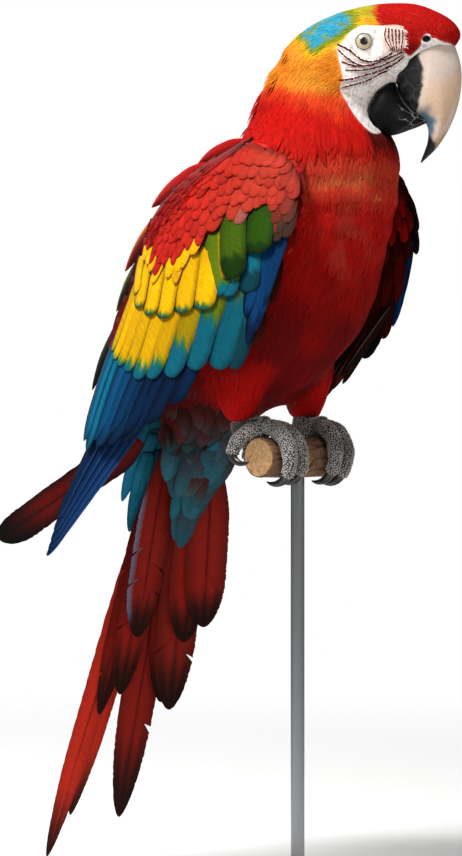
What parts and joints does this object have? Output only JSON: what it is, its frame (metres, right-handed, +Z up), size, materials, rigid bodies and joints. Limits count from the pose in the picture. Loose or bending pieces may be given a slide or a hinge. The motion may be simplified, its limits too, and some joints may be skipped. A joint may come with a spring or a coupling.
{
  "type": "scarlet macaw on a display stand",
  "caption": "Life-size scarlet macaw gripping a short branch, body upright, head turned to its left, tail hanging below; a rod and a round base carry the branch.",
  "frame": {"origin": "on the floor plane, at the stand base's underside, straight below the perch's axis in the bird's middle plane", "axes": "+Z up, +X the way the bird's body faces, +Y to the bird's left, along the perch"},
  "size_m": [0.4633, 0.28, 0.7711],
  "materials": {
    "feathers_scarlet": "matte, faintly sheened feather vanes",
    "feathers_orange": "matte, faintly sheened feather vanes",
    "feathers_yellow": "matte, faintly sheened feather vanes",
    "feathers_blue": "satin feather vanes",
    "feathers_teal": "satin feather vanes",
    "feathers_deep_red": "satin feather vanes",
    "bill_horn": "worn horn, half gloss",
    "bill_slate": "dry dark horn, satin",
    "eye": "wet gloss",
    "foot_scales": "dry scaled skin, satin",
    "claw_horn": "dark horn, half gloss",
    "perch_bark": "rough bark",
    "rod_steel": "brushed",
    "base_walnut": "oiled, satin"
  },
  "bodies": {
    "root": {"trunk": "feathers_scarlet", "head": "feathers_scarlet", "thigh_right": "feathers_scarlet", "thigh_left": "feathers_scarlet", "wing_right_shoulder": "feathers_scarlet", "wing_left_shoulder": "feathers_scarlet", "neck": "feathers_orange", "wing_right_coverts": "feathers_yellow", "wing_left_coverts": "feathers_yellow", "wing_right_secondaries": "feathers_blue", "wing_right_primaries": "feathers_blue", "wing_left_secondaries": "feathers_blue", "wing_left_primaries": "feathers_blue", "tail_coverts_under": "feathers_teal", "tail_coverts_upper": "feathers_teal", "scapular_right_1": "feathers_deep_red", "scapular_right_2": "feathers_deep_red", "scapular_right_3": "feathers_deep_red", "scapular_right_4": "feathers_deep_red", "scapular_right_5": "feathers_deep_red", "scapular_left_1": "feathers_deep_red", "scapular_left_2": "feathers_deep_red", "scapular_left_3": "feathers_deep_red", "scapular_left_4": "feathers_deep_red", "scapular_left_5": "feathers_deep_red", "tail_r1": "feathers_deep_red", "tail_r2": "feathers_deep_red", "tail_r3": "feathers_deep_red", "tail_r4": "feathers_deep_red", "tail_r5": "feathers_deep_red", "tail_r6": "feathers_deep_red", "tail_l1": "feathers_deep_red", "tail_l2": "feathers_deep_red", "tail_l3": "feathers_deep_red", "tail_l4": "feathers_deep_red", "tail_l5": "feathers_deep_red", "tail_l6": "feathers_deep_red", "bill_upper": "bill_horn", "bill_lower": "bill_slate", "eye_right": "eye", "eye_left": "eye", "foot_right": "foot_scales", "foot_left": "foot_scales", "claw_right_front_inner": "claw_horn", "claw_right_front_outer": "claw_horn", "claw_right_rear_inner": "claw_horn", "claw_right_rear_outer": "claw_horn", "claw_left_front_inner": "claw_horn", "claw_left_front_outer": "claw_horn", "claw_left_rear_inner": "claw_horn", "claw_left_rear_outer": "claw_horn", "stand_perch": "perch_bark", "stand_rod": "rod_steel", "stand_base": "base_walnut"}
  },
  "joints": []
}
